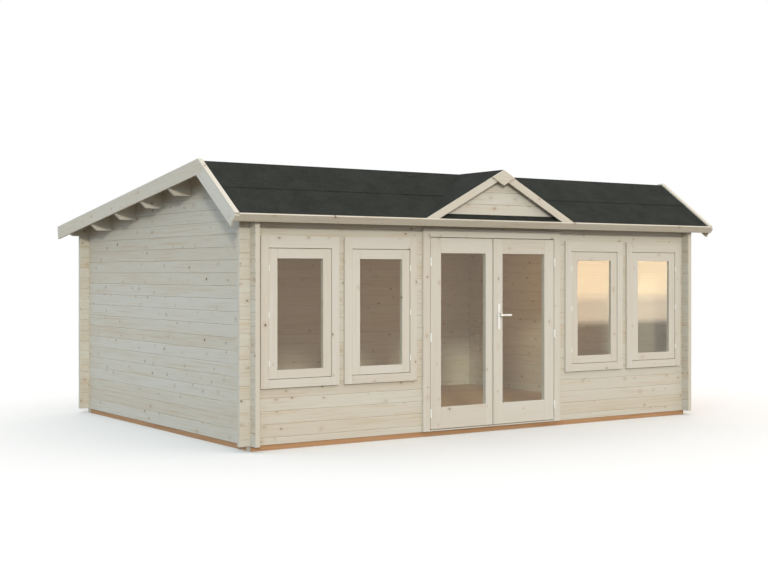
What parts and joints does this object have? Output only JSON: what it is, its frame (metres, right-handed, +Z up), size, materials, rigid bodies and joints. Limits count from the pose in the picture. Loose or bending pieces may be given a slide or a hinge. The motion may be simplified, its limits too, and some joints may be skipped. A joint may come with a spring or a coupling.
{
  "type": "log cabin",
  "caption": "Log cabin with interlocking wall logs, glazed double door, windows beside it, a steep front roof slope and a long flat rear one.",
  "frame": {"origin": "on the ground under the middle of the walls' plan, on the underside of the middle floor joist", "axes": "+Z up, +X along the front to the right as seen from the front, +Y from the front to the rear"},
  "size_m": [5.778, 4.2845, 2.5385],
  "materials": {
    "spruce": "bare planed spruce",
    "floor_wood": "bare planed spruce boards",
    "impregnated_wood": "brown pressure-treated timber",
    "felt": "dark bitumen roofing felt",
    "glass": "clear window glass",
    "white_metal": "white hinges",
    "handle_metal": "satin handle"
  },
  "bodies": {
    "root": {"bargeboards_front": "spruce", "bargeboards_rear": "spruce", "cap_strips_front": "spruce", "cap_strips_rear": "spruce", "door_frame": "spruce", "dormer_apex_plate": "spruce", "dormer_bargeboard_left": "spruce", "dormer_bargeboard_right": "spruce", "dormer_cladding": "spruce", "dormer_felt": "felt", "dormer_roof_boards": "spruce", "floor_boards": "floor_wood", "floor_joists": "impregnated_wood", "foundation_beams": "impregnated_wood", "frame_hinges": "white_metal", "front_fascia": "spruce", "front_wall_left": "spruce", "front_wall_over_door": "spruce", "front_wall_right": "spruce", "left_wall": "spruce", "purlins": "spruce", "rear_fascia": "spruce", "rear_wall": "spruce", "ridge_purlin": "spruce", "right_wall": "spruce", "roof_boards_front": "spruce", "roof_boards_rear": "spruce", "roof_felt": "felt", "window_frame_1": "spruce", "window_frame_2": "spruce", "window_frame_3": "spruce", "window_frame_4": "spruce", "window_panes": "glass", "window_sash_1": "spruce", "window_sash_2": "spruce", "window_sash_3": "spruce", "window_sash_4": "spruce"},
    "left_leaf": {"left_door": "spruce", "left_door_pane": "glass", "left_door_hinges": "white_metal"},
    "right_leaf": {"right_door": "spruce", "right_door_pane": "glass", "door_meeting_strip": "spruce", "right_door_hinges": "white_metal", "door_handle_plates": "handle_metal"},
    "handle": {"door_handle": "handle_metal"}
  },
  "joints": [
    {"name": "left_door_hinge", "type": "hinge", "parent": "root", "child": "left_leaf", "pos_m": [-0.763, -1.933, 0.926], "axis": [0, 0, -1], "range_deg": [0, 105]},
    {"name": "right_door_hinge", "type": "hinge", "parent": "root", "child": "right_leaf", "pos_m": [0.763, -1.933, 0.926], "axis": [0, 0, 1], "range_deg": [0, 105]},
    {"name": "handle_turn", "type": "hinge", "parent": "right_leaf", "child": "handle", "pos_m": [0.053, -1.9005, 1.124], "axis": [0, 1, 0], "range_deg": [0, 40], "stiffness_Nm_per_rad": 1, "springref_deg": -34.38}
  ]
}
